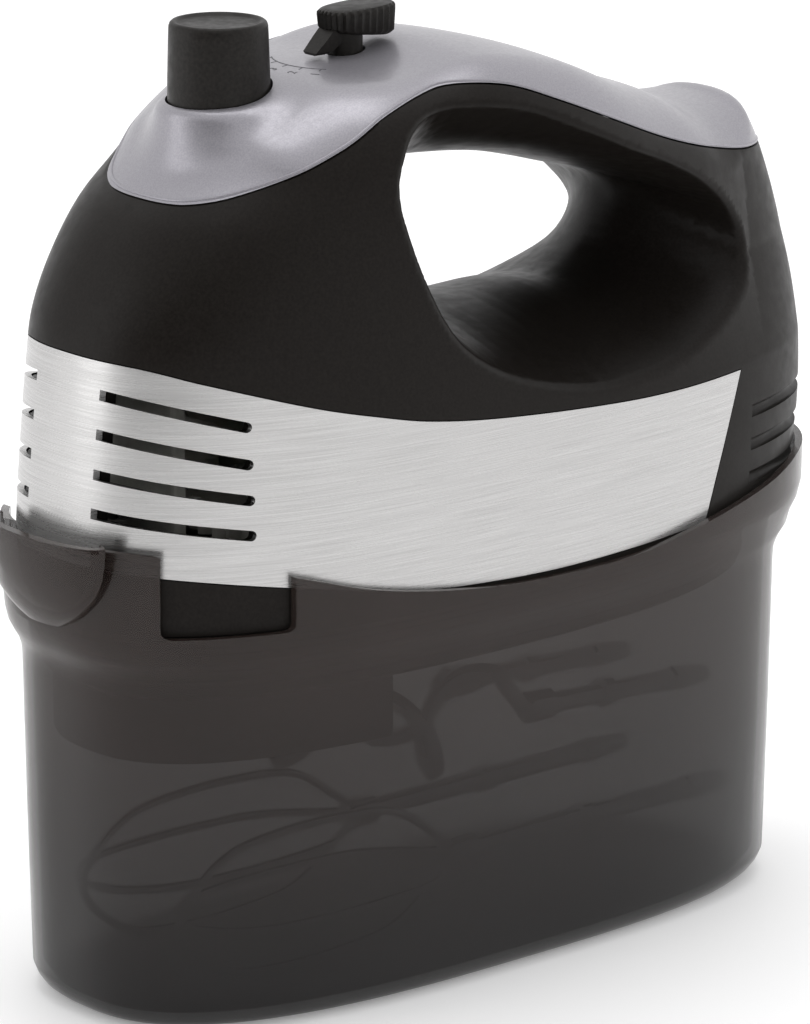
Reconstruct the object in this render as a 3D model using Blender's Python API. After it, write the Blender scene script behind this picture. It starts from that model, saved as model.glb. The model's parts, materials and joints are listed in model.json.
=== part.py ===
"""Hand mixer docked on its storage bin: every piece a separate closed solid, metres, +Z up.

+X is the rear of the mixer, -X its nose, -Y the near side. The origin is the middle of the bin's underside.
Lengths below are written in millimetres and multiplied by MM where the shapes are made.
"""
import math

import bmesh
import bpy
from mathutils import Matrix, Vector

MM = 0.001

# Driving dimensions (mm)
BASE_HALF_L = 104.0       # bin footprint, half length
BASE_HALF_W = 46.5        # bin footprint, half width
WIDEST_X = -5.0           # where the plan is widest
N_FRONT, N_REAR = 2.6, 2.5    # roundness of the mixer's two plan ends
TUB_FRONT, TUB_REAR = 2.64, 3.24   # and of the tub's
BODY_HALF_W = 48.0
WALL = 2.4                # moulded wall of the mixer
BIN_WALL = 2.2
BODY_LOW = 98.3           # lower edge of the mixer's main housing
MOTOR_Z = 122.0           # motor, worm and worm wheels are on this level
SPINDLE_X, SPINDLE_Y = -62.0, 21.0
WORM_R, WHEEL_R = 4.5, 16.5
KNOB_X, LEVER_X = -56.0, -18.0

# lean of the nose and of the tail with height, height of the top along X, and how round its shoulders are
NOSE = ((96, 2.4), (118, 1.7), (142, -0.6), (154, -2.1), (166, -4.1), (178, -9.2), (190, -17.5), (203, -33.5), (222, -42))
TAIL = ((96, 11.5), (110, 13.0), (120, 14.4), (133, 14.6), (150, 13.3), (163, 10.7), (177, 6.2), (190, 0.4), (210, -12.6))
CROWN = ((-106, 204), (-90, 210.5), (-80, 213.5), (-66, 215.2), (-55, 215.2), (-40, 219.6), (-20, 221.2), (0, 223.9), (25, 219.1),
         (50, 208.9), (64, 204.4), (76, 200.1), (86, 200.3), (93, 202.2), (100, 206.4), (106, 200.6), (112, 189.6), (120, 172.9))
SHOULDER = ((-110, 5), (-80, 6.5), (-60, 10), (-20, 17.5), (20, 18), (60, 15.9), (90, 12.2), (120, 7.1))
# silver cover's lower border, the steel band's edges and the collar's rim, as heights along X
BORDER = ((-120, 193), (-95, 194), (-80, 194.6), (-75, 196.6), (-70, 198), (-60, 201.6), (-48, 207.2), (-36, 213.2),
          (-19, 217.4), (-10, 217.9), (1, 216.4), (14, 211.6), (30, 205.1), (49, 197.7), (66, 192.4), (84, 188.2), (98, 186.6), (125, 184))
BAND_TOP = ((-120, 161.4), (-99, 161), (-87, 157.5), (-61, 149.5), (-46, 145.7), (-32, 142.6), (-10, 139.8), (28, 137.1),
            (50, 136.4), (74, 136.6))
BAND_LOW = ((-120, 114), (-97, 112.3), (-69, 108.1), (-46, 104), (-31, 101.8), (-10, 100.3), (9, 99.7), (36, 100.1), (60, 101))
BAND_END, BAND_SLANT = 73.4, 13.6
COLLAR = ((-125, 119), (-98, 118), (-69, 111), (-50, 105.5), (-31, 102), (-10, 99.6), (10, 98.8), (36, 99.2), (59, 102),
          (88, 106), (105, 109), (125, 111))
# the handle's opening, at the sides of the body and in its middle plane
RIM = ((-37, 192), (-33.5, 207), (-21, 213.8), (1, 211.9), (19, 204.6), (36, 197.1), (51, 191), (65.5, 183.2), (76, 174.7),
       (82.3, 165), (78.4, 155.3), (58, 146), (38, 142.1), (16.6, 142.7), (-8, 150.1), (-25.3, 164))
THROAT = ((-25, 185), (-23, 190.5), (-11, 194.8), (0, 195), (15, 193.6), (29, 190.4), (41, 187), (53, 183.8), (62.5, 180.5),
          (63.5, 174.5), (57, 163.5), (47, 158), (34, 158), (15, 157.4), (-8, 161), (-21, 171))


# ---------------------------------------------------------------- helpers
def clean():
    for ob in list(bpy.data.objects):
        bpy.data.objects.remove(ob, do_unlink=True)


clean()
PARTS = bpy.data.collections.new("hand_mixer")
bpy.context.scene.collection.children.link(PARTS)


def material(name, colour, metallic=0.0, rough=0.45, alpha=1.0):
    mat = bpy.data.materials.new(name)
    mat.use_nodes = True
    bsdf = mat.node_tree.nodes["Principled BSDF"]
    bsdf.inputs["Base Color"].default_value = (*colour, 1.0)
    bsdf.inputs["Metallic"].default_value = metallic
    bsdf.inputs["Roughness"].default_value = rough
    bsdf.inputs["Alpha"].default_value = alpha
    return mat


LOOK = {
    "smoke": material("smoke", (0.11, 0.09, 0.08), 0.0, 0.15, 0.6),
    "black": material("black", (0.02, 0.02, 0.02), 0.0, 0.3),
    "silver": material("silver", (0.62, 0.62, 0.68), 0.7, 0.3),
    "steel": material("steel", (0.75, 0.75, 0.75), 1.0, 0.3),
    "chrome": material("chrome", (0.6, 0.6, 0.6), 1.0, 0.15),
    "copper": material("copper", (0.7, 0.33, 0.15), 1.0, 0.35),
    "brass": material("brass", (0.8, 0.6, 0.25), 1.0, 0.3),
    "nylon": material("nylon", (0.85, 0.83, 0.76), 0.0, 0.5),
    "carbon": material("carbon", (0.05, 0.05, 0.05), 0.2, 0.6),
    "iron": material("iron", (0.3, 0.3, 0.32), 0.9, 0.5),
    "board": material("board", (0.05, 0.25, 0.12), 0.0, 0.5),
    "rubber": material("rubber", (0.03, 0.03, 0.03), 0.0, 0.8),
}


def curve(points, t):
    """Height of a smooth line through a few (position, height) points."""
    if t <= points[0][0]:
        return points[0][1]
    if t >= points[-1][0]:
        return points[-1][1]
    k = 0
    while t > points[k + 1][0]:
        k += 1
    (x0, y0), (x1, y1) = points[k], points[k + 1]

    def slope(i):
        a, b = points[max(i - 1, 0)], points[min(i + 1, len(points) - 1)]
        return (b[1] - a[1]) / (b[0] - a[0])
    h = x1 - x0
    s = (t - x0) / h
    return ((2 * s ** 3 - 3 * s * s + 1) * y0 + (s ** 3 - 2 * s * s + s) * h * slope(k)
            + (3 * s * s - 2 * s ** 3) * y1 + (s ** 3 - s * s) * h * slope(k + 1))


def body_depth(x, y, z):
    """Below zero inside the mixer's outer surface, roughly in mm."""
    front = BASE_HALF_L + WIDEST_X + curve(NOSE, z)
    rear = BASE_HALF_L - WIDEST_X + curve(TAIL, z)
    taper = 7.0 * min(max((x - 20) / 65, 0.0), 1.0) ** 2 * min(max((z - 138) / 25, 0.0), 1.0)
    width = BODY_HALF_W - 2.5 * max(0.0, (z - 150) / 60) ** 1.5 - taper
    u, n = ((WIDEST_X - x) / front, N_FRONT) if x < WIDEST_X else ((x - WIDEST_X) / rear, N_REAR)
    side = ((abs(u) ** n + abs(y / width) ** n) ** (1 / n) - 1) * width
    top = z - curve(CROWN, x) + 5.0 * (y / 47) ** 2
    r = curve(SHOULDER, x)
    form = math.hypot(side + r, top + r) - r if side > -r and top > -r else max(side, top)
    # a raised round seat under the knob, blended into the form
    out, up = math.hypot(x - KNOB_X, y) - 14.5, z - 214.5
    seat = math.hypot(out + 2.5, up + 2.5) - 2.5 if out > -2.5 and up > -2.5 else max(out, up)
    blend = min(max(0.5 + 0.5 * (seat - form) / 8, 0.0), 1.0)
    return seat * (1 - blend) + form * blend - 8 * blend * (1 - blend)


def half_width(x, z):
    """How far the body's surface is from the middle plane at one place of its side."""
    lo, hi = 0.0, 60.0
    for _ in range(20):
        y = (lo + hi) / 2
        lo, hi = (y, hi) if body_depth(x, y, z) < 0 else (lo, y)
    return lo


def put(ob, name, look, smooth=True):
    ob.name = name
    ob.data.name = name
    ob.data.materials.clear()
    ob.data.materials.append(LOOK[look])
    for c in list(ob.users_collection):
        c.objects.unlink(ob)
    PARTS.objects.link(ob)
    if smooth:
        ob.data.shade_smooth()
        ob.data.set_sharp_from_angle(angle=math.radians(35))
    return ob


def from_bm(bm, name="tmp"):
    mesh = bpy.data.meshes.new(name)
    bmesh.ops.recalc_face_normals(bm, faces=bm.faces)
    bm.to_mesh(mesh)
    bm.free()
    ob = bpy.data.objects.new(name, mesh)
    bpy.context.scene.collection.objects.link(ob)
    return ob


def baked(ob):
    """The object as its modifiers leave it, as a plain mesh in place."""
    deps = bpy.context.evaluated_depsgraph_get()
    mesh = bpy.data.meshes.new_from_object(ob.evaluated_get(deps))
    mesh.transform(ob.matrix_world)
    bm = bmesh.new()
    bm.from_mesh(mesh)
    bmesh.ops.remove_doubles(bm, verts=bm.verts, dist=2e-6)
    bmesh.ops.dissolve_degenerate(bm, edges=bm.edges, dist=2e-6)
    bm.to_mesh(mesh)
    bm.free()
    new = bpy.data.objects.new(ob.name, mesh)
    bpy.context.scene.collection.objects.link(new)
    bpy.data.objects.remove(ob, do_unlink=True)
    return new


def boolean(ob, tool, how="DIFFERENCE", keep=False):
    bpy.context.view_layer.update()
    mod = ob.modifiers.new("cut", "BOOLEAN")
    mod.operation = how
    mod.solver = "EXACT"
    mod.object = tool
    new = baked(ob)
    if not keep:
        bpy.data.objects.remove(tool, do_unlink=True)
    return new


def copy(ob):
    new = bpy.data.objects.new(ob.name + "_copy", ob.data.copy())
    bpy.context.scene.collection.objects.link(new)
    return new


def box(x0, x1, y0, y1, z0, z1, bevel=0.0, tilt=0.0):
    bm = bmesh.new()
    bmesh.ops.create_cube(bm, size=1.0)
    bmesh.ops.scale(bm, vec=((x1 - x0) * MM, (y1 - y0) * MM, (z1 - z0) * MM), verts=bm.verts)
    if bevel:
        bmesh.ops.bevel(bm, geom=bm.edges[:], offset=bevel * MM, segments=2, profile=0.5, affect="EDGES")
    if tilt:
        bmesh.ops.rotate(bm, verts=bm.verts, cent=(0, 0, 0), matrix=Matrix.Rotation(tilt, 3, "Y"))
    bmesh.ops.translate(bm, vec=((x0 + x1) / 2 * MM, (y0 + y1) / 2 * MM, (z0 + z1) / 2 * MM), verts=bm.verts)
    return from_bm(bm)


def rod(axis, at, r, a0, a1, seg=24, r2=None):
    """A cylinder along one axis: at is its centre in the other two, a0..a1 its ends."""
    bm = bmesh.new()
    bmesh.ops.create_cone(bm, cap_ends=True, segments=seg, radius1=r * MM, radius2=(r if r2 is None else r2) * MM,
                          depth=(a1 - a0) * MM)
    mid = (a0 + a1) / 2
    if axis == "X":
        bmesh.ops.rotate(bm, verts=bm.verts, cent=(0, 0, 0), matrix=Matrix.Rotation(math.pi / 2, 3, "Y"))
        pos = (mid, at[0], at[1])
    elif axis == "Y":
        bmesh.ops.rotate(bm, verts=bm.verts, cent=(0, 0, 0), matrix=Matrix.Rotation(-math.pi / 2, 3, "X"))
        pos = (at[0], mid, at[1])
    else:
        pos = (at[0], at[1], mid)
    bmesh.ops.translate(bm, vec=Vector(pos) * MM, verts=bm.verts)
    return from_bm(bm)


def ring_loft(rings):
    """Closed skin over stacked rings of equal point counts, capped at both ends."""
    bm = bmesh.new()
    rows = [[bm.verts.new(Vector(p) * MM) for p in ring] for ring in rings]
    count = len(rows[0])
    for a, b in zip(rows, rows[1:]):
        for i in range(count):
            j = (i + 1) % count
            bm.faces.new((a[i], a[j], b[j], b[i]))
    bm.faces.new(rows[0][::-1])
    bm.faces.new(rows[-1])
    return from_bm(bm)


def plan(front, rear, width, z, n_front=N_FRONT, n_rear=N_REAR, count=60):
    """The pointed-oval outline of the bin and mixer at one height."""
    pts = []
    for i in range(count):
        a = 2 * math.pi * (i + 0.5) / count
        c, s = math.cos(a), math.sin(a)
        n = n_rear if c > 0 else n_front
        r = (abs(c) ** n + abs(s) ** n) ** (-1 / n)
        half = (rear - WIDEST_X) if c > 0 else (front + WIDEST_X)
        pts.append((WIDEST_X + half * r * c, width * r * s, z))
    return pts


def slab(off_front, off_rear, half_w, z0, z1, n_front=N_FRONT, n_rear=N_REAR):
    return ring_loft([plan(BASE_HALF_L + off_front, BASE_HALF_L + off_rear, half_w, z, n_front, n_rear) for z in (z0, z1)])


def body_solid(depth, segs=(16, 6, 10)):
    """The mixer's outer form, moved inwards by depth: a box's skin pushed out along rays to the surface."""
    bm = bmesh.new()
    for axis, (nu, nv) in ((0, (segs[1], segs[2])), (1, (segs[0], segs[2])), (2, (segs[0], segs[1]))):
        for side in (-1, 1):
            grid = {}
            for i in range(nu + 1):
                for j in range(nv + 1):
                    u, v = math.tan((2 * i / nu - 1) * math.pi / 4), math.tan((2 * j / nv - 1) * math.pi / 4)
                    p = [u, v]
                    p.insert(axis, side)
                    grid[i, j] = bm.verts.new(p)
            for i in range(nu):
                for j in range(nv):
                    bm.faces.new((grid[i, j], grid[i + 1, j], grid[i + 1, j + 1], grid[i, j + 1]))
    bmesh.ops.remove_doubles(bm, verts=bm.verts, dist=1e-5)
    cx, cz = 0.0, 148.0
    for v in bm.verts:
        d = v.co.normalized()
        d = Vector((d.x * 112, d.y * 48, d.z * 66)).normalized()
        lo, hi = 5.0, 200.0
        for _ in range(28):
            t = (lo + hi) / 2
            x, y, z = cx + d.x * t, d.y * t, cz + d.z * t
            if max(body_depth(x, y, z), 86 - z) + depth < 0:
                lo = t
            else:
                hi = t
        v.co = Vector((cx + d.x * lo, d.y * lo, cz + d.z * lo)) * MM
    return from_bm(bm)


def smooth_loop(points, count):
    """Evenly parametrised closed line through a few points."""
    out = []
    n = len(points)
    for i in range(count):
        s = i * n / count
        k, f = int(s), s - int(s)
        p = [Vector(points[(k + j) % n]) for j in (-1, 0, 1, 2)]
        out.append(0.5 * ((2 * p[1]) + (p[2] - p[0]) * f + (2 * p[0] - 5 * p[1] + 4 * p[2] - p[3]) * f * f
                          + (3 * p[1] - p[0] - 3 * p[2] + p[3]) * f ** 3))
    return out


def hand_hole(grow, count=20):
    """The hourglass opening of the handle, wider at the sides than in the middle plane."""
    rim, throat = smooth_loop(RIM, count), smooth_loop(THROAT, count)
    reach = [half_width(*p) for p in rim]
    rings = []
    for y in (-54, -46, -38, -30, -18, 0, 18, 30, 38, 46, 54):
        line = [a + (b - a) * min(abs(y) / w, 1.15) ** 1.8 for a, b, w in zip(throat, rim, reach)]
        ring = []
        for i, p in enumerate(line):
            t = (line[(i + 1) % count] - line[i - 1]).normalized()
            ring.append((p.x + t.y * -grow, y, p.y + t.x * grow))
        rings.append(ring)
    return ring_loft(rings)


def side_prism(lower, upper, x0, x1, steps=20, slant=0.0):
    """A block through the full width, bounded below and above by two height lines along X."""
    rows = []
    for i in range(steps + 1):
        f = i / steps
        rows.append((x0 + (x1 - x0) * f, x0 + (x1 - slant - x0) * f))
    ring = [(xt, upper(xt)) for xt, _ in rows] + [(xl, lower(xl)) for _, xl in reversed(rows)]
    return ring_loft([[(x, y, z) for x, z in ring] for y in (-70, 70)])


# ---------------------------------------------------------------- storage bin
def tub_rings(rings):
    return ring_loft([plan(BASE_HALF_L + front, BASE_HALF_L + rear, w, z, nf, nr) for z, front, rear, w, nf, nr in rings])


tub = tub_rings((
    (0, -6.5, -7.2, BASE_HALF_W - 6, TUB_FRONT, TUB_REAR), (0.6, -5.0, -5.6, BASE_HALF_W - 4.4, TUB_FRONT, TUB_REAR),
    (2.4, -2.6, -3.2, BASE_HALF_W - 2.2, TUB_FRONT, TUB_REAR), (6.5, -0.6, -1.2, BASE_HALF_W, TUB_FRONT, TUB_REAR),
    (84, 0.4, 0.0, BASE_HALF_W + 1.4, TUB_FRONT, TUB_REAR), (89, 2.0, 6.0, 49.0, 2.6, 2.8),
    (95, 4.8, 13.2, 50.5, N_FRONT, N_REAR), (100, 5.3, 15.3, 50.6, N_FRONT, N_REAR), (124, 5.5, 15.6, 50.8, N_FRONT, N_REAR)))
bin_body = boolean(tub, side_prism(lambda x: curve(COLLAR, x), lambda x: 140, -130, 130))
hollow = tub_rings((
    (2.6, -7.5, -8.2, BASE_HALF_W - 7.2, TUB_FRONT, TUB_REAR), (3.6, -5, -5.6, BASE_HALF_W - 4.9, TUB_FRONT, TUB_REAR),
    (7, -2.9, -3.5, BASE_HALF_W - 2.4, TUB_FRONT, TUB_REAR), (84, -1.8, -2.2, BASE_HALF_W - 0.8, TUB_FRONT, TUB_REAR),
    (96, 0.2, 4.0, BASE_HALF_W - 0.3, 2.6, 2.8)))
bin_body = boolean(bin_body, hollow)
collar_room = slab(3.6, 13.6, 48.8, 96.0, 140)
# the thumb tab is an open cup standing out from the nose of the collar
tab = ring_loft([[(-108.4 + (-7.5 if math.cos(a) < 0 else 3) * abs(math.cos(a)) * s, 23 * s * math.sin(a), z)
                  for a in [2 * math.pi * (i + 0.5) / 24 for i in range(24)]]
                 for z, s in ((98.5, 0.32), (102, 0.6), (107, 0.82), (113, 0.95), (120.4, 1.0))])
bin_body = boolean(bin_body, tab, "UNION")
tab_room = ring_loft([[(-108.0 + (-5.6 if math.cos(a) < 0 else 3) * abs(math.cos(a)) * s, 20.8 * s * math.sin(a), z)
                       for a in [2 * math.pi * (i + 0.5) / 24 for i in range(24)]]
                      for z, s in ((101.5, 0.3), (104.5, 0.6), (108.5, 0.82), (114, 0.95), (125, 1.0))])
bin_body = boolean(bin_body, tab_room)
bin_body = boolean(bin_body, collar_room)
bin_body = boolean(bin_body, box(-98, -69.5, -70, 70, 98.2, 140))
put(bin_body, "storage_bin", "smoke")

# ---------------------------------------------------------------- mixer shell
outer = body_solid(0.0)
inner = body_solid(WALL)
hole = hand_hole(0.0)
outer_open = boolean(copy(outer), hole)
inner_closed = boolean(inner, hand_hole(WALL))
shell = boolean(outer_open, inner_closed)

SPLIT = 0.15
above = side_prism(lambda x: curve(BORDER, x) + SPLIT, lambda x: 250, -110, 122, 26)
top_cover = boolean(copy(shell), above, "INTERSECT")
below = side_prism(lambda x: BODY_LOW, lambda x: curve(BORDER, x) - SPLIT, -110, 122, 26)
housing = boolean(shell, below, "INTERSECT")


def band_prism(grow):
    return side_prism(lambda x: curve(BAND_LOW, x) - grow, lambda x: curve(BAND_TOP, x) + grow,
                      -112, BAND_END + grow, 18, BAND_SLANT)


def slots(half, x0, x1):
    tools = []
    for z, drop in ((151.1, 7.4), (141.9, 6.6), (132.8, 5.4), (123.9, 4.4)):
        for y0, y1 in ((-70, -12.6), (12.6, 70)):
            tools.append(box(x0, x1, y0, y1, z - half, z + half, 0.0, math.atan2(drop, 26)))
    return tools


recess = boolean(band_prism(0.3), body_solid(1.2))
housing = boolean(housing, recess)
band = boolean(outer, body_solid(0.9))
band = boolean(band, band_prism(0.0), "INTERSECT")
for tool in slots(1.25, -107.9, -76.7):
    band = boolean(band, tool)
for tool in slots(1.6, -108.7, -76.1):
    housing = boolean(housing, tool)
# two grooves round the rear, under the smooth part of the housing
groove_out = slab(16, 16, 60, 0, 3.2)
groove_in = slab(8.6, 12.4, 46.6, -1, 5)
groove = boolean(boolean(groove_out, groove_in), box(84, 140, -70, 70, -3, 8), "INTERSECT")
for z in (120.6, 111.6):
    tool = copy(groove)
    tool.location.z = z * MM
    housing = boolean(housing, tool)
bpy.data.objects.remove(groove, do_unlink=True)
# knob bore and lever window in the cover, cord gland in the rear wall
top_cover = boolean(top_cover, rod("Z", (KNOB_X, 0), 12.6, 190, 240, 28))
top_cover = boolean(top_cover, rod("Z", (LEVER_X, 0), 4.8, 205, 240, 24))
housing = boolean(housing, rod("X", (0, 150), 6.3, 104, 130, 20))
put(top_cover, "top_cover", "silver")
put(housing, "main_housing", "black")
put(band, "trim_band", "steel")

# ---------------------------------------------------------------- lower housing with the spindle boss
low = boolean(slab(-3.4, -4.0, BASE_HALF_W - 2.5, 80, 96.4), slab(2.0, 11.0, BODY_HALF_W - 0.7, 96.3, 98.0), "UNION")
boss = boolean(slab(-5.8, -5.8, BASE_HALF_W - 6.5, 64, 84), box(-104, -36, -60, 60, 60, 90), "INTERSECT")
low = boolean(low, boss, "UNION")
low = boolean(low, slab(-5.8, -6.4, BASE_HALF_W - 4.9, 82.4, 120))
boss_room = boolean(slab(-8.2, -8.2, BASE_HALF_W - 8.9, 66.4, 90), box(-104, -38.4, -60, 60, 60, 92), "INTERSECT")
low = boolean(low, boss_room)
for y in (-SPINDLE_Y, SPINDLE_Y):
    low = boolean(low, rod("Z", (SPINDLE_X, y), 8.6, 60, 70))
put(low, "lower_housing", "black")

# ---------------------------------------------------------------- knob, ejector and its spring
knob = boolean(rod("Z", (KNOB_X, 0), 12.2, 203, 233.4, 32, 11.6), rod("Z", (KNOB_X, 0), 8.0, 196, 204, 24), "UNION")
knob = boolean(knob, rod("Z", (KNOB_X, 0), 3.2, 160, 198, 20), "UNION")
put(knob, "eject_knob", "black")
yoke = box(KNOB_X - 12, KNOB_X + 4, -26, 26, 138, 141, 0.6)
yoke = boolean(yoke, rod("Z", (KNOB_X, 0), 5.2, 140.5, 160.6, 20), "UNION")
yoke = boolean(yoke, rod("Z", (KNOB_X, 0), 3.5, 156, 162, 20))
for y in (-SPINDLE_Y, SPINDLE_Y):
    yoke = boolean(yoke, rod("Z", (SPINDLE_X, y), 2.3, 104, 138.5, 16), "UNION")
put(yoke, "ejector_yoke", "nylon")


def coil(name, x, y, z0, z1, r, wire, turns, look, per=10):
    data = bpy.data.curves.new(name, "CURVE")
    data.dimensions = "3D"
    data.bevel_depth = wire * MM
    data.bevel_resolution = 0
    data.use_fill_caps = True
    sp = data.splines.new("POLY")
    n = int(turns * per)
    sp.points.add(n)
    for i in range(n + 1):
        a = 2 * math.pi * i / per
        sp.points[i].co = ((x + r * math.cos(a)) * MM, (y + r * math.sin(a)) * MM, (z0 + (z1 - z0) * i / n) * MM, 1)
    ob = bpy.data.objects.new(name, data)
    bpy.context.scene.collection.objects.link(ob)
    bpy.context.view_layer.update()
    return put(baked(ob), name, look)


coil("eject_spring", KNOB_X, 0, 165.2, 194.6, 6.6, 0.6, 6, "chrome")

# ---------------------------------------------------------------- gearbox frame
frame = box(-83, -34, -30, 30, 103, 106, 1.0)
for y in (-SPINDLE_Y, SPINDLE_Y):
    frame = boolean(frame, rod("Z", (SPINDLE_X, y), 10.5, 96, 104), "UNION")
frame = boolean(frame, box(-42, -36, -26, 26, 105, 160, 1.0), "UNION")
frame = boolean(frame, box(-86, -82, -20, 20, 103, 160, 1.0), "UNION")
frame = boolean(frame, box(-86, -36, -11, 11, 159, 163, 1.0), "UNION")
frame = boolean(frame, rod("Z", (KNOB_X, 0), 5.7, 150, 170, 24))
for y in (-SPINDLE_Y, SPINDLE_Y):
    frame = boolean(frame, rod("Z", (SPINDLE_X, y), 8.6, 90, 110, 24))
frame = boolean(frame, rod("X", (0, MOTOR_Z), 8.3, -45, -30, 24))
frame = boolean(frame, rod("X", (0, MOTOR_Z), 3.6, -95, -80, 20))
put(frame, "gearbox_frame", "nylon")

# ---------------------------------------------------------------- worm wheels and drive spindles
TEETH = 22


def wheel(name, y, phase):
    ring = []
    for i in range(TEETH * 2):
        a = 2 * math.pi * (i + 0.5) / (TEETH * 2) + phase
        r = 16.9 if i % 2 else 14.6
        ring.append((r * math.cos(a), r * math.sin(a)))
    body = ring_loft([[(SPINDLE_X + x, y + v, z) for x, v in ring] for z in (MOTOR_Z - 4, MOTOR_Z + 4)])
    body = boolean(body, rod("Z", (SPINDLE_X, y), 5.4, 100, 140, 20))
    return put(body, name, "nylon")


wheel("worm_wheel_left", -SPINDLE_Y, 0.0)
wheel("worm_wheel_right", SPINDLE_Y, 0.0)
for side, y in (("left", -SPINDLE_Y), ("right", SPINDLE_Y)):
    spindle = boolean(rod("Z", (SPINDLE_X, y), 6.6, 66, 112), rod("Z", (SPINDLE_X, y), 5.1, 111, 128), "UNION")
    spindle = boolean(spindle, rod("Z", (SPINDLE_X, y), 3.8, 60, 140, 20))
    put(spindle, "drive_spindle_" + side, "steel")
    bush = boolean(rod("Z", (SPINDLE_X, y), 8.3, 96.2, 105.8), rod("Z", (SPINDLE_X, y), 6.9, 90, 110))
    put(bush, "spindle_bush_" + side, "brass")

# ---------------------------------------------------------------- motor
worm = rod("X", (0, MOTOR_Z), 3.0, -89, 73, 16)
for i in range(7):
    worm = boolean(worm, rod("X", (0, MOTOR_Z), 3.9, -76 + i * 4.7, -73.9 + i * 4.7, 16), "UNION")
put(worm, "motor_shaft", "steel")


def tube(name, r_out, r_in, x0, x1, look, seg=24, teeth=0, deep=5.0):
    body = rod("X", (0, MOTOR_Z), r_out, x0, x1, seg)
    body = boolean(body, rod("X", (0, MOTOR_Z), r_in, x0 - 5, x1 + 5, 16))
    for i in range(teeth):
        a = 2 * math.pi * i / teeth
        tool = box(x0 - 2, x1 + 2, r_out - deep, r_out + 5, -deep * 0.22, deep * 0.22)
        tool.data.transform(Matrix.Rotation(a, 4, "X"))
        tool.location.z = MOTOR_Z * MM
        body = boolean(body, tool)
    return put(body, name, look)


tube("armature_core", 16.4, 3.15, 8, 38, "iron", 40, 10)
tube("armature_winding", 12.0, 3.15, 0, 7.6, "copper", 20)
tube("commutator", 9.0, 3.15, 44, 56, "copper", 24, 12, 1.6)
fan = rod("X", (0, MOTOR_Z), 8, -16, -8, 20)
for i in range(9):
    tool = box(-14, -9, 6, 21, -0.7, 0.7)
    tool.data.transform(Matrix.Rotation(0.5, 4, "Y"))
    tool.data.transform(Matrix.Translation(((-12 + 11.5 * math.cos(0.5)) * MM, 0, -11.5 * math.sin(0.5) * MM)))
    tool.data.transform(Matrix.Rotation(2 * math.pi * i / 9, 4, "X"))
    tool.location.z = MOTOR_Z * MM
    fan = boolean(fan, tool, "UNION")
fan = boolean(fan, rod("X", (0, MOTOR_Z), 3.15, -30, 0, 16))
put(fan, "cooling_fan", "nylon")
stator = box(7, 39, -27, 27, 101, 143, 2.0)
stator = boolean(stator, rod("X", (0, MOTOR_Z), 17.1, 0, 50, 32))
for s in (-1, 1):
    stator = boolean(stator, box(0, 50, s * 20 - 3.5, s * 20 + 3.5, 108, 136))
put(stator, "stator_stack", "iron")
for name, s in (("field_coil_left", -1), ("field_coil_right", 1)):
    ring = box(2.6, 43.4, s * 20 - 3.1, s * 20 + 3.1, 108.4, 135.6, 1.2)
    ring = boolean(ring, box(6.7, 39.3, s * 20 - 8, s * 20 + 8, 112.5, 131.5))
    put(ring, name, "copper")
# the stator's pole pieces pass through the coils
for name, r, x0, x1, look in (("front_bearing", 8.0, -42, -36, "brass"), ("rear_bearing", 8.0, 65, 71, "brass")):
    body = boolean(rod("X", (0, MOTOR_Z), r, x0, x1, 24), rod("X", (0, MOTOR_Z), 3.3, x0 - 2, x1 + 2, 16))
    put(body, name, look)
cradle = boolean(box(60, 72, -24, 24, 100, 138, 1.0), rod("X", (0, MOTOR_Z), 8.3, 64.7, 80, 24))
cradle = boolean(cradle, rod("X", (0, MOTOR_Z), 5.0, 50, 80, 20))
put(cradle, "rear_bracket", "nylon")
for name, s in (("left", -1), ("right", 1)):
    holder = box(46.5, 53.5, min(s * 11, s * 24), max(s * 11, s * 24), MOTOR_Z - 4.5, MOTOR_Z + 4.5, 0.5)
    holder = boolean(holder, box(47.8, 52.2, min(s * 9, s * 22.5), max(s * 9, s * 22.5), MOTOR_Z - 3.2, MOTOR_Z + 3.2))
    put(holder, "brush_holder_" + name, "brass")
    brush = box(48.1, 51.9, min(s * 9.3, s * 17), max(s * 9.3, s * 17), MOTOR_Z - 2.9, MOTOR_Z + 2.9)
    put(brush, "brush_" + name, "carbon")

# ---------------------------------------------------------------- speed lever and electrics
lever = rod("Z", (LEVER_X, 0), 4.2, 208.8, 227, 20)
grip = ring_loft([[(LEVER_X + 3.4 + 10.2 * a * math.cos(t), 6.4 * b * math.sin(t), z)
                   for t in [2 * math.pi * (i + 0.5) / 24 for i in range(24)]]
                  for z, a, b in ((225.3, 0.8, 0.8), (226.8, 0.97, 0.97), (231.6, 1.0, 1.0), (232.7, 0.9, 0.88))])
lever = boolean(lever, grip, "UNION")
pointer = box(LEVER_X - 10, LEVER_X, -2.4, 2.4, 223.2, 226.8, 0.5, -0.3)
lever = boolean(lever, pointer, "UNION")
put(lever, "speed_lever", "black")
switch = boolean(box(-30, -6, -11, 11, 205.5, 212.4, 1.0), rod("Z", (LEVER_X, 0), 4.5, 208.4, 216, 20))
put(switch, "speed_switch", "nylon")
put(box(-30, -6, -11, 11, 203.5, 205.2), "control_board", "board")
put(box(76, 92, -17, 17, 118, 119.6), "filter_board", "board")
put(boolean(rod("X", (0, 150), 6.0, 106, 118.4, 20), rod("X", (0, 150), 3.6, 100, 120, 16)), "cord_gland", "rubber")
for i, (x, y) in enumerate(((-20, -30), (-20, 30), (70, -22), (70, 22))):
    put(box(x - 4, x + 4, y - 4, y + 4, 82.7, 90, 0.5), "screw_post_%d" % (i + 1), "black")


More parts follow.
